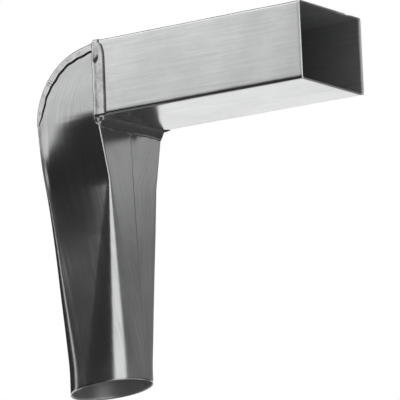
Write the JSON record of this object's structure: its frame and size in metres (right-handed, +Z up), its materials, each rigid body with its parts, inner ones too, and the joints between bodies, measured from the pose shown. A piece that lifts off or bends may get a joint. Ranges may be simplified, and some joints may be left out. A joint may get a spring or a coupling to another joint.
{
  "type": "gutter outlet",
  "caption": "Soldered sheet-zinc gutter outlet: a rectangular inlet box turns through a quarter-round elbow into a drop that narrows and then turns from square to a round spigot.",
  "frame": {"origin": "middle of the outlet's rim, on the drop's plumb axis", "axes": "+X towards the inlet's open mouth, +Y to the back of the drop, +Z up"},
  "size_m": [0.3048, 0.11, 0.3334],
  "materials": {
    "zinc": "natural rolled zinc, satin",
    "solder": "soft solder, bright and rippled"
  },
  "bodies": {
    "root": {"inlet_box": "zinc", "drop_elbow": "zinc", "collar_solder": "solder", "heel_solder_front": "solder", "heel_solder_back": "solder", "throat_solder": "solder"}
  },
  "joints": []
}
